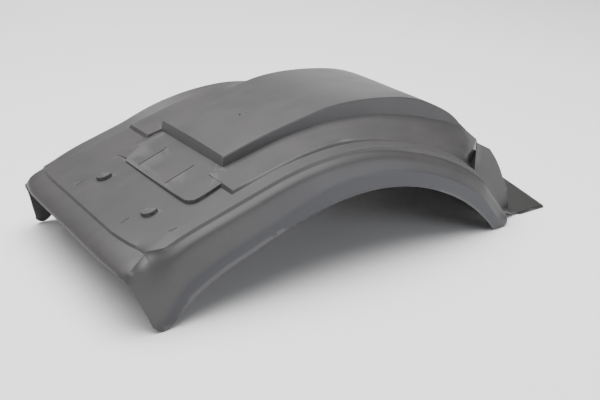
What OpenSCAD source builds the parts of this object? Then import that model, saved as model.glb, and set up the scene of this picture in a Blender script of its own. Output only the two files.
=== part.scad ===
// Single-piece moulded mudguard for the twin wheels of a truck.
// X runs to the rear, Y across the vehicle, Z up. The floor that the skirts stand on is z = 0,
// y = 0 is the middle of the width. The curves are laid out with x = 0 on the axle line at the middle
// of the wheel arch, and the finished part is moved so that x = 0 is the middle of its length.
// The shell is one loft: longitudinal curves (centre panel, shelf, gutter, skirt edge) are
// evaluated at each station, joined across and given a wall by an offset along the normals.

/* [Overall] */
// Width over both skirts
width = 680; // [640:5:720]
// Wall thickness of the moulding
wall = 3.5; // [3.25:0.25:4]

/* [Wheel arch] */
// Radius of the arch edge of the skirts
arch_radius = 519.3; // [515:0.5:523]
// Depth of the axle below the ends of the skirts
axle_depth = 322; // [320:1:324]

/* [Front panel] */
// Slope of the front panel in degrees
ramp_slope = 17.46; // [16:0.02:18.6]
// Radius that joins the front panel to the crown
ramp_blend = 718; // [700:2:760]
// Height of the gutter line at the crown
crown_height = 292; // [286:1:298]
// Reach of the rolled front lip
lip_reach = 597; // [590:1:604]
// Depth of the step between the panel and its border
border_step = 4.5; // [3:0.25:6]
// Lead of the far skirt over the near one at its front end
far_lead = 20; // [0:1:24]
// Height of the far rim over the near one at the crown
far_rise = 9; // [0:0.5:12]

/* [Centre panel] */
// Half width of the raised centre panel
panel_half = 157; // [150:1:164]
// Front face of the raised centre panel
panel_front = -272; // [-280:1:-264]

/* [Side shelves] */
// Outer edge of the shelves
shelf_half = 268; // [262:1:274]
// Front face of the shelves
shelf_front = -311; // [-318:1:-304]

/* [Pad and hoods] */
// Height of the wedge pad at its near front corner
pad_height = 9; // [6:0.5:12]
// Radius of the half-moon hoods
hood_radius = 21; // [16:0.5:24]
// Height of the half-moon hoods
hood_height = 8; // [4:0.5:10]

/* [Rear flange] */
// Sweep of the rear edge of the flange, in mm forward for each mm outward
flange_sweep = 0.275; // [0.2:0.005:0.32]
// Rear end of the flange at the middle
flange_reach = 693; // [670:1:710]
// Height of the flange above the floor
flange_height = 8; // [7:0.5:10]

/* [Hidden] */
half = width / 2;
gutter_half = half - 29;
shell_colour = "#6f7173";

// Height of the centre panel in front of the axle line
panel_z = [[-275, 276], [-228, 291], [-175, 306], [-122, 319], [-67, 331], [0, 344.5]];
// Radius of the centre panel about the axle, by angle behind the axle line
panel_r = [[0, 666.5], [6.4, 675], [11.4, 681.5], [16.5, 690], [21.8, 700], [27.5, 705.5], [31, 706.5]];
// Inner edge of the shelf
inner_z = [[-315, 245], [-271, 256], [-229, 266.5], [-176, 281], [-122, 295], [-68, 303], [0, 312.5]];
inner_r = [[0, 634.5], [6.8, 637.5], [12.1, 643.5], [17.7, 650], [23.4, 659.5], [31, 674.5]];
// Outer edge of the shelf
outer_z = [[-315, 243], [-267, 256], [-218, 270], [-167, 283], [-114, 293], [-60, 299], [0, 298.5]];
outer_r = [[0, 620.5], [5, 616], [10.5, 611], [16.5, 608], [22.9, 606.5], [31, 608]];
// Gutter beside the shelf, and its outer line where the edge roll starts
gutter_r = [[0, 613.6], [7.5, 607.5], [15, 601.5], [22.5, 600], [31, 600]];
foot_r = [[0, 615], [7.5, 610], [13.5, 606], [22.9, 606], [31, 607.5]];
// Front part of the arch edge, before it becomes the true arch
edge_z = [[-526, 0], [-518, 0.8], [-507, 7], [-483, 28], [-435, 65], [-362, 103], [-313, 121], [-250, 145.5], [-187, 167],
    [-78, 191.5], [0, 197.3]];

// Stations behind 31 degrees, as [angle, radius] on each longitudinal curve:
// centre panel, shelf inner edge, ramp, block edge, block foot, gutter line, and the arch edge as
// [angle, mm beyond the arch radius].
rear = [
    [[33, 707.3], [34, 685], [33, 633.5], [32, 608.3], [32, 607], [32.2, 600], [32.2, -1.8]],
    [[35, 706.6], [37.5, 691.5], [35, 637.5], [33, 608.6], [33, 607], [33.4, 600], [33.4, -1.8]],
    [[37, 703.5], [41.5, 698], [37, 644], [34, 609], [34, 607], [34.8, 600], [34.8, -1.8]],
    [[38.5, 700], [44.6, 701], [39.3, 655], [35.3, 609], [35, 606.5], [36.2, 600], [36.2, -1.8]],
    [[39.6, 696.5], [45.7, 696], [40.3, 642], [36.3, 603], [36.3, 602.5], [37.6, 600], [37.6, -1.8]],
    [[40.6, 692.5], [46, 683], [41.3, 622], [40, 604], [39.9, 602], [39.5, 600], [39.5, -1.8]],
    [[42, 686], [46.1, 674], [41.4, 668], [36.8, 666], [40.6, 601], [41, 598.5], [41, -1.8]],
    [[43.6, 677], [46.4, 670], [43, 671], [40.8, 674], [42.5, 599], [42.7, 595], [42.7, -1.8]],
    [[45.3, 668], [46.9, 666], [45, 666], [43.8, 669], [44.7, 594], [44.7, 590.5], [44.7, -1.8]],
    [[47.2, 660], [47.6, 660], [47.2, 660], [46.6, 661], [47, 589], [47, 586.5], [46.7, -1.8]],
    [[49, 653], [49, 653], [48.9, 653], [48.7, 652.5], [49.3, 586], [49.2, 582.5], [48.6, -1.8]],
    [[51.1, 648], [51.1, 648], [51.1, 648], [51.1, 648], [51.2, 585], [51.2, 580], [50.6, -2.5]],
    [[52.6, 645], [52.6, 645], [52.6, 645], [52.6, 645], [52.8, 585], [52.8, 579], [52.3, 6]]
];
// Stations of the tail, without skirts: block edge, block foot, gutter line, and half width there
tail = [
    [[53.7, 636], [54, 590], [54, 586], 308],
    [[54.6, 632.5], [55, 598], [55.3, 594], 304],
    [[56.4, 625], [56.7, 606], [56.8, 603], 300],
    [[57.9, 619.5], [57.9, 618.5], [57.9, 618], 298]
];

// Line where the front panel steps down to its border
border_x = -545.5;

// Stations in front of the axle line: the rolled lip, the panel, the shelf and panel faces, the crown
lip = [[-lip_reach, 21], [-lip_reach + 1.5, 16.5], [-lip_reach + 6, 12.3], [-lip_reach + 14, 8.6],
    [-lip_reach + 27, 5.2], [border_x - 3.5, border_step], [border_x, 0]];
// Rounded lower front corner of the skirt, one place for each lip station
tip = [[-541, 13], [-536.5, 7], [-531.5, 3], [-526, 0.6], [-520.5, 0], [-512, 2], [-501, 10.5]];
front = [-525, -500, -464, -430, -398, -360, -330, shelf_front - 4, shelf_front, -292, panel_front - 5,
    panel_front, -250, -225, -200, -168, -135, -100, -66, -33, 0];
crown = [3.5, 7, 10.5, 14, 17.5, 21, 24.5, 28, 31];

function mix(p, q, t) = p + (q - p) * t;
function unit(v) = v / max(norm(v), 0.000001);
function clamp(t) = min(1, max(0, t));

// Slope of a table of [position, value] pairs at its entry k
function grade(tab, k) =
    let (a = max(k - 1, 0), b = min(k + 1, len(tab) - 1))
    (tab[b][1] - tab[a][1]) / (tab[b][0] - tab[a][0]);

// Smooth curve through such a table
function curve(tab, x, k = 0) =
    k < len(tab) - 2 && x > tab[k + 1][0] ? curve(tab, x, k + 1) :
    let (w = tab[k + 1][0] - tab[k][0], t = clamp((x - tab[k][0]) / w), s = 1 - t)
    (1 + 2 * t) * s * s * tab[k][1] + t * s * s * w * grade(tab, k)
    + t * t * (3 - 2 * t) * tab[k + 1][1] - t * t * s * w * grade(tab, k + 1);

// A place in the XZ plane at an angle behind the axle line and a radius about the axle
function ring(angle, r) = [r * sin(angle), r * cos(angle) - axle_depth];

// Gutter height in front of the axle line: straight ramp, then the arc over the crown
crown_x = -25;
blend_x = crown_x - ramp_blend * sin(ramp_slope);
blend_z = crown_height - ramp_blend * (1 - cos(ramp_slope));
function ramp_z(x) =
    x < blend_x ? blend_z + (x - blend_x) * tan(ramp_slope)
    : crown_height - ramp_blend + sqrt(ramp_blend * ramp_blend - pow(x - crown_x, 2));

// Share of a face that a station has climbed, from its foot to its top
function climb(x, foot, top) = clamp((x - foot) / (top - foot));

// The seven curve points of a station in front of the axle line, and how much the panels stand up
function front_station(x) =
    let (
        g = ramp_z(x),
        up = climb(x, panel_front - 5, panel_front),
        sh = climb(x, shelf_front - 4, shelf_front),
        si = mix(g, curve(inner_z, x), sh),
        so = mix(g, curve(outer_z, x), sh),
        ex = -526 + (x + lip_reach) * (526 / lip_reach)
    )
    [[x, mix(g, curve(panel_z, x), up)], [x, si], [x, mix(si, so, 0.67)], [x, so],
        [x, g + 1.5 * clamp((x + 140) / 100)], [x, g], [ex, curve(edge_z, ex)]];

// The seven curve points of a lip station, drop being the height below the ramp
function lip_station(x, drop, k) =
    let (z = ramp_z(x) - drop)
    [[x, z], [x, z], [x, z], [x, z], [x, z], [x, z], tip[k]];

function crown_station(a) = [ring(a, curve(panel_r, a)), ring(a, curve(inner_r, a)),
    ring(a, mix(curve(inner_r, a), curve(outer_r, a), 0.67)), ring(a, curve(outer_r, a)),
    ring(a, curve(foot_r, a)), ring(a, curve(gutter_r, a)),
    ring(a, arch_radius - 1.8 * clamp((a - 4) / 20))];

function rear_station(row) = [for (k = [0:6]) ring(row[k][0], row[k][1] + (k == 6 ? arch_radius : 0))];

// Positions across the width: centre panel with its edge, ramp, shelf edge, gutter
function across(w2) = [0, 52, 104, 148, panel_half - 1.5, panel_half + 0.5, panel_half + 3.5, 196, 232, 254,
    shelf_half - 2, shelf_half, shelf_half + 3, mix(shelf_half + 3, w2, 0.5), w2];

// Corner rounding of the front panel in plan: reach back and inward
function back(x, a, far) =
    let (e = pow(clamp(far ? (a - 225) / 86 : (a - 150) / 135), 1.5), t = clamp((border_x - x) / 45))
    e * (x < border_x ? mix(far ? 11 : 20, far ? 13 : 4, t)
        : (far ? 11 : 20) * pow(clamp((x + 440) / (border_x + 440)), 2));
function inward(x, a, far) =
    let (full = far ? 5 : 27, tip_in = far ? 8 : -8)
    clamp((a - 230) / 81) * (x < border_x ? mix(full, tip_in, clamp((border_x - x) / 46))
        : full * pow(clamp((x + 495) / (border_x + 495)), 1.6));

// Skirt section: [share of the full drop or mm of drop, half width]
roll = [[border_step, 2.5], [border_step + 3.5, 10], [border_step + 9, 16], [border_step + 17, 19.5]];

function skirt(g, gy, e, plumb, pull) =
    let (
        full = norm(e - g),
        d = (e - g) / full,
        zone = full * mix(0.72, 0.54, plumb),
        spots = concat([for (r = roll) [min(r[0], full * r[0] / 52), r[1]]],
            [[mix(roll[3][0], zone, 0.5), 21.8], [zone, 24], [zone + 3, 24.8], [mix(zone, full, 0.5), 26.5], [full, 29]])
    )
    [for (k = [0:len(spots) - 1])
        let (s = spots[k], q = s[0] / full, p = g + d * s[0], rim = gutter_half + 19.5)
        [p[0], k < 4 ? mix(gy, rim - pull, s[1] / 19.5) : gutter_half + s[1] - pull * (1 - q), p[1]]];

// Half of a cross-section, from the middle to the arch edge of the skirt
function half_section(st, x_nom, plumb = 1, pull = 0, skirted = true, w2 = gutter_half, far = false) =
    let (
        a = across(w2),
        up = st[0][1] - st[5][1] > 12 ? 1 : 0,
        edge = clamp((st[3][1] - st[4][1]) / 8),
        z = [
            st[0] + [0, 3 * up], st[0] + [0, 2.8 * up], st[0] + [0, 2.2 * up], st[0] + [0, 1.2 * up],
            st[0] + [0, 0.6 * up], st[0] - [0, 2 * up],
            st[1], mix(st[1], st[2], 0.5), st[2], mix(st[2], st[3], 0.6),
            st[3], st[3] - [0, 2 * edge], st[4], mix(st[4], st[5], 0.5), st[5]
        ],
        top = [for (k = [0:len(a) - 1]) [z[k][0] + back(x_nom, a[k], far), a[k] - inward(x_nom, a[k], far), z[k][1]]],
        g = [top[14][0], top[14][2]]
    )
    skirted ? concat(top, skirt(g, top[14][1], st[6], plumb, pull)) : top;

// Rounded rear end of the skirt, as [x, half width beyond the gutter line, z]
skirt_end = [[462, 2.5, 26.5], [460.5, 10, 25.5], [458.5, 16, 24], [456.5, 19.5, 21.5], [455, 21.8, 17.5],
    [453, 24, 10.5], [450, 24.8, 6.5], [437, 26.5, 1], [417, 29, 0]];
function end_section(st) = let (h = half_section(st, 0)) concat([for (k = [0:14]) h[k]],
    [for (p = skirt_end) [p[0], gutter_half + p[1], p[2]]]);

// The whole section from its near and far halves, near side first. The far half leads a little
// towards its front end and stands higher over the crown, most of all at its rim.
function full_section(h, lead = 0, rim = 0, panel = 0, f = undef) =
    let (o = is_undef(f) ? h : f)
    concat(
        [for (k = [len(h) - 1:-1:1]) [h[k][0], -h[k][1], h[k][2]]],
        [for (k = [0:len(o) - 1]) o[k] + [-lead * clamp((k - 14) / 7), 0, k < 13 ? panel * clamp(o[k][1] / 157)
            : mix(panel, rim, min(clamp((k - 12) / 2), 1)) * clamp((23 - k) / 6)]]
    );
function lead(x) = far_lead * clamp((-330 - x) / 200);
function ease(t) = let (u = clamp(t)) u * u * (3 - 2 * u);
function rim_rise(x) = far_rise * (0.4 * ease((x + 600) / 70) + 0.6 * ease((x + 330) / 90));
function panel_rise(x) = far_rise * 0.5 * ease((x + 220) / 220);

pulls = [12, 8, 4.5, 2, 0.5, 0, 0];
function flange_x(a) = flange_reach + 12 - sqrt(144 + pow(flange_sweep * a, 2));
flange_across = across(304);
function flange_row(t, z, edge_z) = [for (k = [0:14])
    let (a = k == 13 ? 299 : flange_across[k], x0 = k == 14 ? 535 : 528, x1 = flange_x(a))
    [mix(x0, x1, t), a, k == 14 ? edge_z : z]];

rows = concat(
    [for (k = [0:len(lip) - 1]) let (st = lip_station(lip[k][0], lip[k][1], k))
        full_section(half_section(st, lip[k][0], 0, pulls[k]), lead(-lip_reach), min(4.5, 1.5 * k),
            f = half_section(st, lip[k][0], 0, pulls[k], far = true))],
    [for (x = front) let (st = front_station(x), p = clamp((x + 240) / 150))
        full_section(half_section(st, x, p), lead(x), rim_rise(x), panel_rise(x), half_section(st, x, p, far = true))],
    [for (a = crown) full_section(half_section(crown_station(a), 0), 0, far_rise, far_rise * 0.5)],
    [for (k = [0:len(rear) - 2]) let (e = ease((47 - rear[k][5][0]) / 14))
        full_section(half_section(rear_station(rear[k]), 0), 0, far_rise * e, far_rise * 0.5 * e)],
    [full_section(end_section(rear_station(rear[len(rear) - 1])))]
);
tail_rows = concat(
    [for (t = tail) let (b = ring(t[0][0], t[0][1]), f = ring(t[1][0], t[1][1]), g = ring(t[2][0], t[2][1]))
        full_section(half_section([b, b, b, b, f, g], 0, 1, 0, false, t[3]))],
    [full_section(flange_row(0, flange_height, 2)), full_section(flange_row(0.5, flange_height, 0.5)),
        full_section([for (p = flange_row(1, flange_height, 0.5)) p - [5, 0, 0.5]]),
        full_section([for (p = flange_row(1, 5.5, 0.5)) p - [1, 0, 0]]), full_section(flange_row(1, 0, 0))]
);

// Tail rows are padded to the full count of columns, so that every row has the same length
wide = len(rows[0]);
narrow = len(tail_rows[0]);
inset = (wide - narrow) / 2;
grid = concat(rows, [for (r = tail_rows) [for (j = [0:wide - 1]) r[min(max(j - inset, 0), narrow - 1)]]]);
n_rows = len(grid);
full_rows = len(rows);

// A cell is part of the shell unless it lies beside the tail, behind the skirts
function live(i, j) = i >= 0 && j >= 0 && i < n_rows - 1 && j < wide - 1
    && (i < full_rows - 1 || (j >= inset && j < wide - 1 - inset));

function cell_normal(i, j) = unit(cross(grid[i + 1][j + 1] - grid[i][j], grid[i][j + 1] - grid[i + 1][j]));
cell_n = [for (i = [0:n_rows - 2]) [for (j = [0:wide - 2]) live(i, j) ? cell_normal(i, j) : [0, 0, 0]]];

// Mean of the normals round a grid point, lengthened so that each face moves by the full wall
function inside(i, j) =
    let (
        cells = [for (di = [-1, 0], dj = [-1, 0]) if (live(i + di, j + dj)) cell_n[i + di][j + dj]],
        n = len(cells),
        s = [for (k = [0:2]) n == 0 ? 0 : [for (c = cells) c[k]] * [for (c = cells) 1 / n]],
        l = s * s,
        p = grid[i][j] - s * wall / max(l, 0.42)
    )
    [p[0], p[1], max(p[2], 0)];
inner = [for (i = [0:n_rows - 1]) [for (j = [0:wide - 1]) inside(i, j)]];

function id(i, j, layer) = layer * n_rows * wide + i * wide + j;

// The two triangles of a quad
function quad(a, b, c, d) = [[a, b, c], [a, c, d]];

shell_points = concat([for (r = grid) each r], [for (r = inner) each r]);
shell_faces = [for (i = [0:n_rows - 2], j = [0:wide - 2]) if (live(i, j)) each concat(
    quad(id(i, j, 0), id(i, j + 1, 0), id(i + 1, j + 1, 0), id(i + 1, j, 0)),
    quad(id(i, j, 1), id(i + 1, j, 1), id(i + 1, j + 1, 1), id(i, j + 1, 1)),
    live(i - 1, j) ? [] : quad(id(i, j, 1), id(i, j + 1, 1), id(i, j + 1, 0), id(i, j, 0)),
    live(i + 1, j) ? [] : quad(id(i + 1, j + 1, 1), id(i + 1, j, 1), id(i + 1, j, 0), id(i + 1, j + 1, 0)),
    live(i, j - 1) ? [] : quad(id(i + 1, j, 1), id(i, j, 1), id(i, j, 0), id(i + 1, j, 0)),
    live(i, j + 1) ? [] : quad(id(i, j + 1, 1), id(i + 1, j + 1, 1), id(i + 1, j + 1, 0), id(i, j + 1, 0))
)];

// The lofted shell with its wall
module shell() {
    polyhedron(points = shell_points, faces = shell_faces, convexity = 12);
}

// Places its children on the sloping front panel, x along the slope
module on_ramp(x, y) {
    translate([x, y, ramp_z(x)]) rotate([0, -ramp_slope, 0]) children();
}

// A small flat piece on the front panel, as corners [x, y, height above the panel]
module facet_block(tops, depth) {
    hull() {
        for (p = tops) {
            translate([p[0], p[1], ramp_z(p[0]) + p[2]]) cube([0.01, 0.01, 0.01]);
            translate([p[0], p[1], ramp_z(p[0]) - depth]) cube([0.01, 0.01, 0.01]);
        }
    }
}

// Wedge pad in front of the centre panel
module pad(cut) {
    s = cut ? wall : 0;
    h = pad_height - s;
    facet_block([
        [-398 + s, -203 + s, h], [-393 + s, -216 + s, h], [-383 + s, -225 + s, h - 0.2], [-368, -229 + s, h - 0.4],
        [-308, -219 + s, h - 1.8], [-262, -150, h - 2.5], [-262, 146, h - 4], [-315, 140 - s, h - 4],
        [-353, 135 - s, h - 4.2],
        [-392 + s, 112, h - 4.6], [-398 + s, 104, h - 4.6]
    ], cut ? 8 : 1);
    if (!cut) facet_block([
        [-390, 108, h - 4.8], [-353, 134, h - 4.4], [-262, 145, h - 4.2],
        [-397, 176, 0], [-360, 180, 0], [-262, 162, 0]
    ], 1);
}

// Narrow groove along the pad, from its front edge, y and sideways drift given
module groove(y, drift) {
    hull() {
        for (e = [[-389, 0], [-310, drift]])
            translate([e[0], y + e[1], ramp_z(e[0]) + pad_height - (y > 0 ? 5.6 : 3.6)])
                cylinder(h = 12, r = 1.3, $fn = 8);
    }
}

// Half-moon hood: a raised round rim that runs out flush behind
module hood(x, y) {
    on_ramp(x, y) rotate([0, 0, 45]) hull() {
        intersection() {
            cylinder(h = hood_height, r1 = hood_radius, r2 = hood_radius - 1.5, $fn = 32);
            translate([-40, -40, -1]) cube([38, 80, 20]);
        }
        translate([10, -12, -1]) cube([1, 24, 1.1]);
    }
}

// Short raised mark on the front panel
module mark(x, y, l, turn) {
    on_ramp(x, y) rotate([0, 0, turn]) hull() {
        translate([-l / 2, -0.8, -1]) cube([l, 1.6, 1]);
        translate([-l / 2 + 0.8, -0.3, -1]) cube([l - 1.6, 0.6, 2]);
    }
}

// Small cut-off pip on the centre panel
module gate_pip() {
    translate([-146, -13, curve(panel_z, -146) + 1]) rotate([0, -14, 0]) {
        cylinder(h = 5, r1 = 3.6, r2 = 1.8, $fn = 12);
        translate([10, -2.5, 1]) rotate([0, -6, -12]) cube([14, 2.4, 2], center = true);
    }
}

module mudguard_shell() {
    color(shell_colour) translate([(lip_reach - flange_reach) / 2, 0, 0]) difference() {
        union() {
            shell();
            pad(false);
            hood(-458, 90);
            hood(-458, -162);
            mark(-512, 121, 20, 0);
            mark(-508, -142, 24, 5);
            mark(-457, -274, 20, -15);
            gate_pip();
        }
        pad(true);
        groove(48, 9);
        groove(-97, 9);
    }
}

mudguard_shell();
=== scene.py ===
"""Studio scene of a moulded mudguard for the twin wheels of a truck.

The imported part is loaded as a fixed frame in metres. Its one moulding is copied from it, its
curves are refined, its corners get the small radii of a moulding tool, and it gets the look of
grained satin plastic.
X runs to the rear of the vehicle, Y across the wheels and Z up. The skirts stand on z = 0.
"""

import logging
import math
from dataclasses import dataclass
from enum import Enum
from typing import Any, Optional

import bpy
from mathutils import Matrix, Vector


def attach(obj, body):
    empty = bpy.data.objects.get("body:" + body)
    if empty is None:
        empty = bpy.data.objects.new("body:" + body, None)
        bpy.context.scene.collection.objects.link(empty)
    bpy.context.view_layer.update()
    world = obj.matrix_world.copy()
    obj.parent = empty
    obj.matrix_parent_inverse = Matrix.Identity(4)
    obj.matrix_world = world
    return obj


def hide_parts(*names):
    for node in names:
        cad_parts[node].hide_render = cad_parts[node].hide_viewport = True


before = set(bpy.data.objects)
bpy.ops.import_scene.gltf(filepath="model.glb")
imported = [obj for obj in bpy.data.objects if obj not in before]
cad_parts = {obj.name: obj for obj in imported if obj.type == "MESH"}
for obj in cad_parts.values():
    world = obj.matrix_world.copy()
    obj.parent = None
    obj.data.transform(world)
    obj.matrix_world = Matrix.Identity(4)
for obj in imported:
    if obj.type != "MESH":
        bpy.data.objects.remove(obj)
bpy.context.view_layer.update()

logging.basicConfig(level=logging.INFO, format="%(message)s")
LOG = logging.getLogger("mudguard")

MM = 0.001
SHELL_NODE = "mudguard_shell"
AXLE_X, AXLE_Z = -0.048, -0.322  # the axle line, below the floor that the skirts stand on


class Glow(Enum):
    """Plain studio lights, each with the tint of its lamp."""

    DAYLIGHT = "#ffffff"
    COOL = "#f1f4ff"
    WARM = "#fffaf3"


def linear_rgba(hex_code: str) -> tuple[float, float, float, float]:
    """Turn an sRGB hex colour into the linear colour that shaders take.

    Args:
        hex_code: Colour as "#rrggbb".

    Returns:
        Red, green, blue and alpha, each from 0 to 1.
    """
    parts = [int(hex_code[k:k + 2], 16) / 255 for k in (1, 3, 5)]
    red, green, blue = (p / 12.92 if p <= 0.04045 else ((p + 0.055) / 1.055) ** 2.4 for p in parts)
    return red, green, blue, 1.0


def add_node(
    material: bpy.types.Material,
    kind: str,
    settings: Optional[dict[str, Any]] = None,
    values: Optional[dict[Any, Any]] = None,
    links: Optional[dict[Any, Any]] = None,
) -> bpy.types.Node:
    """Add one shader node with its settings, socket values and incoming links.

    Args:
        material: Material that the node belongs to.
        kind: Node type, such as "ShaderNodeBump".
        settings: Attributes of the node itself.
        values: Default values by input socket.
        links: Output sockets that feed the input sockets.

    Returns:
        The new node.
    """
    node = material.node_tree.nodes.new(kind)
    for name, value in (settings or {}).items():
        setattr(node, name, value)
    for socket, value in (values or {}).items():
        node.inputs[socket].default_value = value
    for socket, source in (links or {}).items():
        material.node_tree.links.new(source, node.inputs[socket])
    return node


def edit(piece: bpy.types.Object) -> None:
    """Make a piece the only selected one and open it in edit mode, nothing selected in it."""
    bpy.ops.object.select_all(action="DESELECT")
    bpy.context.view_layer.objects.active = piece
    piece.select_set(True)
    bpy.ops.object.mode_set(mode="EDIT")
    bpy.ops.mesh.select_all(action="DESELECT")


def leave_edit() -> None:
    """Go back to object mode and deselect every object."""
    bpy.ops.object.mode_set(mode="OBJECT")
    bpy.ops.object.select_all(action="DESELECT")


@dataclass(frozen=True)
class GrainedPlastic:
    """Injection-moulded polyethylene, coloured right through, from an etched steel tool.

    The eye sees a dull grey with a soft sheen that grows at a flat angle, a fine even grain, and
    faint cloudy streaks along the flow. Sharp edges are a little lighter, partly from wear by
    handling and partly as a painted highlight. The lower band of the skirts and the tail are
    painted darker as painted shade, the band slightly blue and the tail brown.
    """

    name: str = "grained_polyethylene_moulded"
    body: str = "#3c3b3b"
    cloud: str = "#434141"
    # lighter on sharp edges: partly wear from handling, partly a painted highlight along the edges
    worn_edge_and_highlight: str = "#585757"
    # painted shade: the tail, the flange and the root of the block are painted darker where they
    # lie in shade
    tail: str = "#262624"
    # painted shade: the lower band of the skirts is painted darker and slightly blue
    band: str = "#303034"
    roughness: float = 0.46
    roughness_spread: float = 0.025
    ior: float = 1.5
    grain_mm: float = 2.2  # real grain is 0.4 mm; drawn coarser so that it shows at all
    grain_depth_mm: float = 0.05
    grain_strength: float = 0.5
    cloud_mm: float = 130.0
    streak_mm: float = 34.0
    streak_share: float = 0.35
    flow_stretch: tuple[float, float, float] = (0.35, 1.0, 1.0)
    tint_from: float = 0.36
    tint_to: float = 0.66
    # pointiness range of the lighter edges, partly wear and partly painted highlight
    edge_wear_and_highlight_pointiness: tuple[float, float] = (0.53, 0.62)
    edge_wear_and_highlight_share: float = 0.55
    # x range over which the tail's painted shade comes in
    tail_shade_x: tuple[float, float] = (0.445, 0.475)
    # distance from the middle plane over which the band's painted shade comes in
    band_shade_out: tuple[float, float] = (0.3366, 0.3388)
    streak_range: tuple[float, float] = (0.3, 0.7)

    def make(self) -> bpy.types.Material:
        """Build the node tree.

        Returns:
            The material.
        """
        mat = bpy.data.materials.new(self.name)
        mat.use_nodes = True
        mat.node_tree.nodes.clear()
        place = add_node(mat, "ShaderNodeTexCoord").outputs["Object"]
        flow = add_node(
            mat, "ShaderNodeMapping", None, {"Scale": self.flow_stretch}, {"Vector": place}
        ).outputs["Vector"]
        clouds, streaks, grain = (
            add_node(
                mat, "ShaderNodeTexNoise", None,
                {"Scale": 1 / (size_mm * MM), "Detail": octaves, "Roughness": finer_share},
                {"Vector": where},
            ).outputs[0]
            for where, size_mm, octaves, finer_share in (
                (place, self.cloud_mm, 3.0, 0.55),
                (flow, self.streak_mm, 2.0, 0.5),
                (place, self.grain_mm, 2.0, 0.6),
            )
        )
        rough = add_node(
            mat, "ShaderNodeMapRange", None,
            {
                "From Min": self.streak_range[0], "From Max": self.streak_range[1],
                "To Min": self.roughness - self.roughness_spread,
                "To Max": self.roughness + self.roughness_spread,
            },
            {"Value": streaks},
        ).outputs["Result"]
        pores = add_node(
            mat, "ShaderNodeBump", None,
            {"Strength": self.grain_strength, "Distance": self.grain_depth_mm * MM},
            {"Height": grain},
        ).outputs["Normal"]
        skin = add_node(
            mat, "ShaderNodeBsdfPrincipled", None, {"IOR": self.ior},
            {
                "Base Color": self._colour(mat, place, clouds, streaks),
                "Roughness": rough, "Normal": pores,
            },
        )
        add_node(mat, "ShaderNodeOutputMaterial", links={"Surface": skin.outputs["BSDF"]})
        return mat

    def _colour(
        self, mat: bpy.types.Material, place: bpy.types.NodeSocket,
        clouds: bpy.types.NodeSocket, streaks: bpy.types.NodeSocket,
    ) -> bpy.types.NodeSocket:
        """Lay the mottled body colour, the painted shade of the band and the tail, and the
        lighter edges (partly wear, partly painted highlight) over each other.

        Args:
            mat: Material that gets the nodes.
            place: Object coordinates.
            clouds: Noise of the clouds.
            streaks: Noise of the flow streaks.

        Returns:
            The colour.
        """
        mottle = add_node(
            mat, "ShaderNodeMix", {"data_type": "FLOAT"}, {0: self.streak_share},
            {2: clouds, 3: streaks},
        ).outputs[0]
        tint = add_node(mat, "ShaderNodeValToRGB", links={"Fac": mottle})
        for stop, position, shade in zip(
            tint.color_ramp.elements, (self.tint_from, self.tint_to), (self.body, self.cloud)
        ):
            stop.position = position
            stop.color = linear_rgba(shade)
        axes = add_node(mat, "ShaderNodeSeparateXYZ", links={"Vector": place})
        out = add_node(
            mat, "ShaderNodeMath", {"operation": "ABSOLUTE"}, links={0: axes.outputs["Y"]}
        ).outputs[0]
        edges = add_node(mat, "ShaderNodeNewGeometry").outputs["Pointiness"]
        colour = tint.outputs["Color"]
        # the band and the tail are painted shade; the lighter edges are partly wear, partly
        # painted highlight
        for shade, source, (start, end), most in (
            (self.band, out, self.band_shade_out, 1.0),
            (self.tail, axes.outputs["X"], self.tail_shade_x, 1.0),
            (self.worn_edge_and_highlight, edges, self.edge_wear_and_highlight_pointiness, self.edge_wear_and_highlight_share),
        ):
            share = add_node(
                mat, "ShaderNodeMapRange", {"clamp": True},
                {"From Min": start, "From Max": end, "To Min": 0.0, "To Max": most},
                {"Value": source},
            ).outputs["Result"]
            colour = add_node(
                mat, "ShaderNodeMix", {"data_type": "RGBA"}, {7: linear_rgba(shade)},
                {0: share, 6: colour},
            ).outputs[2]
        return colour


@dataclass(frozen=True)
class PaperFloor:
    """Matt white paper floor of a studio, with no texture that the eye could pick out."""

    name: str = "matt_white_paper"
    sheet: str = "#f4f4f4"
    roughness: float = 0.9

    def make(self) -> bpy.types.Material:
        """Build the plain matt material.

        Returns:
            The material.
        """
        mat = bpy.data.materials.new(self.name)
        mat.use_nodes = True
        mat.node_tree.nodes.clear()
        skin = add_node(
            mat, "ShaderNodeBsdfPrincipled", None,
            {"Base Color": linear_rgba(self.sheet), "Roughness": self.roughness},
        )
        add_node(mat, "ShaderNodeOutputMaterial", links={"Surface": skin.outputs["BSDF"]})
        return mat


@dataclass(frozen=True)
class Plateau:
    """A curve that rises smoothly from 0 to 1, stays there and falls smoothly back to 0.

    It leaves 0 at start, reaches 1 at full, leaves 1 at fade and is 0 again at end.
    """

    start: float
    full: float
    fade: float
    end: float

    def share(self, value: float) -> float:
        """Read the curve.

        Args:
            value: Where to read it.

        Returns:
            Share from 0 to 1.
        """
        up = min(1.0, max(0.0, (value - self.start) / (self.full - self.start)))
        down = min(1.0, max(0.0, (self.end - value) / (self.end - self.fade)))
        share = min(up, down)
        return share * share * (3 - 2 * share)


@dataclass(frozen=True)
class Strip:
    """A strip along the moulding that moves by up to move_mm, the same on both sides.

    Its places are in metres: out is the distance from the middle plane, along is x.
    """

    name: str
    out: Plateau
    along: Plateau
    move_mm: float

    def reach_mm(self, x: float, out: float) -> float:
        """Give the move at a place.

        Args:
            x: Place along the moulding.
            out: Distance from the middle plane.

        Returns:
            The move in millimetres.
        """
        return self.move_mm * (self.out.share(out) * self.along.share(x))


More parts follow.
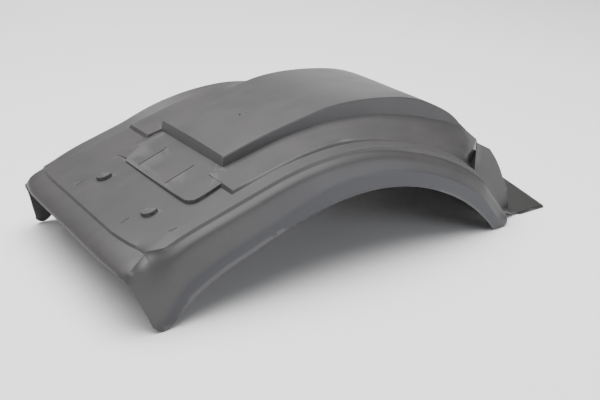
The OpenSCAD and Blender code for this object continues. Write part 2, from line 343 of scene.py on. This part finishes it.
@dataclass(frozen=True)
class Nudge:
    """A soft push at one place of the moulding, the same on both sides.

    The place is in metres with y taken outwards from the middle plane. The push fades out at
    reach_mm from it.
    """

    name: str
    place: tuple[float, float, float]
    reach_mm: float
    push_mm: tuple[float, float, float]

    def shift(self, point: Vector) -> Vector:
        """Give the push at a point.

        Args:
            point: Place on the moulding.

        Returns:
            The move in metres.
        """
        away = (Vector((point.x, abs(point.y), point.z)) - Vector(self.place)).length
        share = max(0.0, 1 - (away / (self.reach_mm * MM)) ** 2) ** 2
        dx, dy, dz = (step * MM * share for step in self.push_mm)
        return Vector((dx, math.copysign(dy, point.y), dz))


@dataclass
class MudguardMoulding:
    """The whole moulding: front panel, centre panel, shelves, skirts, block, tail and flange.

    Its walls come from the CAD node. Here its facets are joined into four-sided faces, strips of
    it are brought closer to the real curves, its long curves are smoothed, and its corners get
    the small radii that the moulding tool leaves.
    """

    node: str = SHELL_NODE
    name: str = "mudguard_moulding"
    merge_mm: float = 0.02
    quad_angle_deg: float = 30.0
    quad_shape_deg: float = 60.0
    crease_angle_deg: float = 27.0
    curve_levels: int = 1
    corner_radius_mm: float = 0.9
    corner_segments: int = 2
    smooth_angle_deg: float = 32.0
    falls: tuple[Strip, ...] = (
        Strip(
            "rolled border", Plateau(0.3105, 0.3235, 0.3315, 0.3368),
            Plateau(-0.645, -0.55, 0.35, 0.40), 8.5,
        ),
        Strip(
            "front corner", Plateau(0.286, 0.322, 0.329, 0.3368),
            Plateau(-0.648, -0.605, -0.57, -0.49), 7.0,
        ),
        Strip(
            "gutter foot", Plateau(0.3108, 0.3128, 0.3145, 0.3195),
            Plateau(-0.60, -0.54, 0.33, 0.40), 3.0,
        ),
    )
    lower_band: Strip = Strip(
        "lower band of the skirts", Plateau(0.3306, 0.3345, 0.3362, 0.340),
        Plateau(-0.60, -0.50, 0.36, 0.42), 3.3,
    )
    skirt_columns: tuple[float, ...] = (0.3328, 0.3350, 0.3358, 0.3375)
    skirt_slack: float = 0.0003
    foot_column: float = 0.3135
    foot_slack: float = 0.0004
    foot_inward_mm: float = 1.8
    inner_skin_limit: float = 0.322
    inner_skin_shift_mm: float = 2.3
    corner_out: tuple[float, float] = (0.3145, 0.3368)
    corner_x: tuple[float, float] = (-0.652, -0.545)
    corner_passes: int = 14
    nudges: tuple[Nudge, ...] = (
        Nudge("ridge tip", (0.447, 0.205, 0.173), 42.0, (7.5, 0.0, 3.5)),
        Nudge("block front corner", (0.354, 0.262, 0.208), 50.0, (-8.0, 0.0, 6.5)),
        Nudge("block top edge", (0.400, 0.262, 0.176), 34.0, (0.0, 0.0, 3.0)),
    )

    def build(self) -> bpy.types.Object:
        """Copy the CAD node's mesh, smooth its curves and round its corners.

        Returns:
            The finished piece.
        """
        piece = self._four_sided_copy()
        facings = [vertex.normal.copy() for vertex in piece.data.vertices]
        for vertex, facing in zip(piece.data.vertices, facings):
            vertex.co += self._refine(vertex.co, facing)
        self._even_out_corners(piece)
        self._mark_creases(piece)
        self._smooth_curves(piece)
        self._round_corners(piece)
        self._shade(piece)
        return piece

    def _four_sided_copy(self) -> bpy.types.Object:
        """Copy the node's mesh, close its seams and join its triangles in pairs.

        Returns:
            The new piece in object mode.
        """
        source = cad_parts[self.node]
        piece = bpy.data.objects.new(self.name, source.data.copy())
        bpy.context.scene.collection.objects.link(piece)
        piece.data.materials.clear()
        edit(piece)
        bpy.ops.mesh.select_mode(type="VERT")
        bpy.ops.mesh.select_all(action="SELECT")
        bpy.ops.mesh.remove_doubles(threshold=self.merge_mm * MM)
        bpy.ops.mesh.tris_convert_to_quads(
            face_threshold=math.radians(self.quad_angle_deg),
            shape_threshold=math.radians(self.quad_shape_deg),
        )
        bpy.ops.object.mode_set(mode="OBJECT")
        return piece

    def _refine(self, point: Vector, facing: Vector) -> Vector:
        """Bring a point of the CAD mesh closer to the real curves of the moulding.

        The rolled border and the front corners fall away more steeply, the step above the gutter
        stands upright on a deeper foot, the lower band of the skirts stands out along a line, and
        the ridge and the block meet. The inner skin follows the outer one beside the step.

        Args:
            point: Place of the point.
            facing: Normal of the mesh there, which tells the inner skin from the outer one.

        Returns:
            The move in metres, up to about 15 mm at the front corners.
        """
        to_axle = Vector((AXLE_X - point.x, 0.0, AXLE_Z - point.z)).normalized()
        inward = to_axle if point.x > AXLE_X else Vector((0.0, 0.0, -1.0))
        out = abs(point.y)
        if facing.dot(to_axle) > 0 and out < self.inner_skin_limit:
            out += self.inner_skin_shift_mm * MM
        drop_mm = sum(fall.reach_mm(point.x, out) for fall in self.falls)
        move = inward * drop_mm * MM
        if self._is_outer_skirt(point):
            lift_mm = self.lower_band.reach_mm(point.x, out)
            move.y += math.copysign(lift_mm * MM, point.y)
        if abs(out - self.foot_column) < self.foot_slack:
            move.y -= math.copysign(self.foot_inward_mm * MM, point.y)
        for nudge in self.nudges:
            move += nudge.shift(point)
        return move

    def _is_outer_skirt(self, point: Vector) -> bool:
        """Tell the outer skirt surface by the distances from the middle that it keeps to."""
        out = abs(point.y)
        return any(abs(out - column) < self.skirt_slack for column in self.skirt_columns)

    def _even_out_corners(self, piece: bpy.types.Object) -> None:
        """Smooth the front corners, where the roll, the lip and the skirt run into each other.

        Args:
            piece: The moulding in object mode.
        """
        edit(piece)
        bpy.ops.object.mode_set(mode="OBJECT")
        for vertex in piece.data.vertices:
            beside = self.corner_out[0] < abs(vertex.co.y) < self.corner_out[1]
            vertex.select = beside and self.corner_x[0] < vertex.co.x < self.corner_x[1]
        bpy.ops.object.mode_set(mode="EDIT")
        bpy.ops.mesh.select_mode(type="VERT")
        bpy.ops.mesh.vertices_smooth(factor=0.5, repeat=self.corner_passes)
        leave_edit()

    def _mark_creases(self, piece: bpy.types.Object) -> None:
        """Mark the sharp edges, so that the smoothing leaves them sharp.

        Args:
            piece: The moulding in object mode.
        """
        edit(piece)
        bpy.ops.mesh.select_mode(type="EDGE")
        bpy.ops.mesh.edges_select_sharp(sharpness=math.radians(self.crease_angle_deg))
        bpy.ops.transform.edge_crease(value=1.0)
        leave_edit()

    def _smooth_curves(self, piece: bpy.types.Object) -> None:
        """Divide the faces so that the long curves run smoothly between the creases.

        Args:
            piece: The moulding, its creases marked.
        """
        bpy.context.view_layer.objects.active = piece
        curves = piece.modifiers.new("long_curves", "SUBSURF")
        curves.levels = self.curve_levels
        curves.render_levels = self.curve_levels
        bpy.ops.object.modifier_apply(modifier=curves.name)

    def _round_corners(self, piece: bpy.types.Object) -> None:
        """Give every crease a small radius.

        Args:
            piece: The moulding with its smooth curves.
        """
        bpy.context.view_layer.objects.active = piece
        rounding = piece.modifiers.new("tool_radii", "BEVEL")
        rounding.width = self.corner_radius_mm * MM
        rounding.segments = self.corner_segments
        rounding.limit_method = "ANGLE"
        rounding.angle_limit = math.radians(self.crease_angle_deg)
        rounding.use_clamp_overlap = True
        bpy.ops.object.modifier_apply(modifier=rounding.name)

    def _shade(self, piece: bpy.types.Object) -> None:
        """Shade the curves smooth and let the large faces lead at the radii.

        Args:
            piece: The moulding with its radii.
        """
        piece.select_set(True)
        bpy.context.view_layer.objects.active = piece
        bpy.ops.object.shade_smooth_by_angle(angle=math.radians(self.smooth_angle_deg))
        leading = piece.modifiers.new("large_faces_lead", "WEIGHTED_NORMAL")
        leading.keep_sharp = True
        bpy.ops.object.modifier_apply(modifier=leading.name)
        bpy.ops.object.select_all(action="DESELECT")

    def dress(self, piece: bpy.types.Object, finish: bpy.types.Material) -> None:
        """Give the moulding its finish and its place in the frame.

        Args:
            piece: The built moulding.
            finish: Its material.
        """
        piece.data.materials.append(finish)
        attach(piece, "root")
        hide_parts(self.node)


@dataclass(frozen=True)
class Softbox:
    """One square softbox that looks at the middle of the moulding, in metres and watts."""

    name: str
    glow: Glow
    place: tuple[float, float, float]
    side: float
    power: float

    def hang(self, aim: Vector) -> None:
        """Hang the lamp and turn it.

        Args:
            aim: Place that it looks at.
        """
        lamp_data = bpy.data.lights.new(self.name, "AREA")
        lamp_data.energy = self.power
        lamp_data.size = self.side
        lamp_data.color = linear_rgba(self.glow.value)[:3]
        lamp = bpy.data.objects.new(self.name, lamp_data)
        lamp.location = self.place
        lamp.rotation_euler = (aim - lamp.location).to_track_quat("-Z", "Y").to_euler()
        bpy.context.scene.collection.objects.link(lamp)


@dataclass
class Studio:
    """Pale floor, soft light and the camera at the photograph's angle, in metres."""

    camera_place: tuple[float, float, float] = (-1.2582, -1.9145, 1.0049)
    camera_turn_deg: tuple[float, float, float] = (67.2704, 0.0, -33.0253)
    lens_mm: float = 56.84
    sensor_mm: float = 36.0
    floor_size: float = 40.0
    floor_gap: float = 0.0005
    sky: str = "#ffffff"
    sky_strength: float = 0.24
    aim: tuple[float, float, float] = (0.0, 0.0, 0.2)
    lamps: tuple[Softbox, ...] = (
        Softbox("overhead_softbox", Glow.DAYLIGHT, (-0.3, 0.3, 4.0), 5.0, 525.0),
        Softbox("far_sheen_panel", Glow.DAYLIGHT, (2.6, 3.4, 0.95), 1.7, 17.0),
        Softbox("far_low_panel", Glow.WARM, (0.9, 4.3, 0.5), 0.9, 16.0),
        Softbox("near_fill_panel", Glow.COOL, (1.7, -3.2, 0.6), 1.8, 54.0),
    )

    def build(self) -> None:
        """Make the floor, the sky, the lamps and the camera."""
        self._floor()
        self._sky()
        for lamp in self.lamps:
            lamp.hang(Vector(self.aim))
        self._camera()

    def _floor(self) -> None:
        """Lay the flat paper floor just below the moulding."""
        bpy.ops.object.select_all(action="DESELECT")
        bpy.ops.mesh.primitive_plane_add(size=self.floor_size, location=(0, 0, -self.floor_gap))
        floor = bpy.context.active_object
        floor.name = "paper_floor"
        floor.data.materials.append(PaperFloor().make())
        bpy.ops.object.transform_apply(location=True, rotation=True, scale=True)

    def _sky(self) -> None:
        """Light the studio evenly from all round."""
        world = bpy.data.worlds.new("studio_air")
        world.use_nodes = True
        air = world.node_tree.nodes["Background"]
        air.inputs["Color"].default_value = linear_rgba(self.sky)
        air.inputs["Strength"].default_value = self.sky_strength
        bpy.context.scene.world = world

    def _camera(self) -> None:
        """Place the camera at the photograph's viewing angle."""
        view = bpy.data.cameras.new("photo_camera")
        view.lens = self.lens_mm
        view.sensor_width = self.sensor_mm
        camera = bpy.data.objects.new("photo_camera", view)
        camera.location = self.camera_place
        camera.rotation_euler = tuple(math.radians(a) for a in self.camera_turn_deg)
        bpy.context.scene.collection.objects.link(camera)
        bpy.context.scene.camera = camera


def main() -> None:
    """Build the studio and the moulding."""
    Studio().build()
    LOG.info("studio: floor, lamps and camera")
    moulding = MudguardMoulding()
    piece = moulding.build()
    moulding.dress(piece, GrainedPlastic().make())
    LOG.info("%s: %d faces", piece.name, len(piece.data.polygons))


if __name__ == "__main__":
    main()
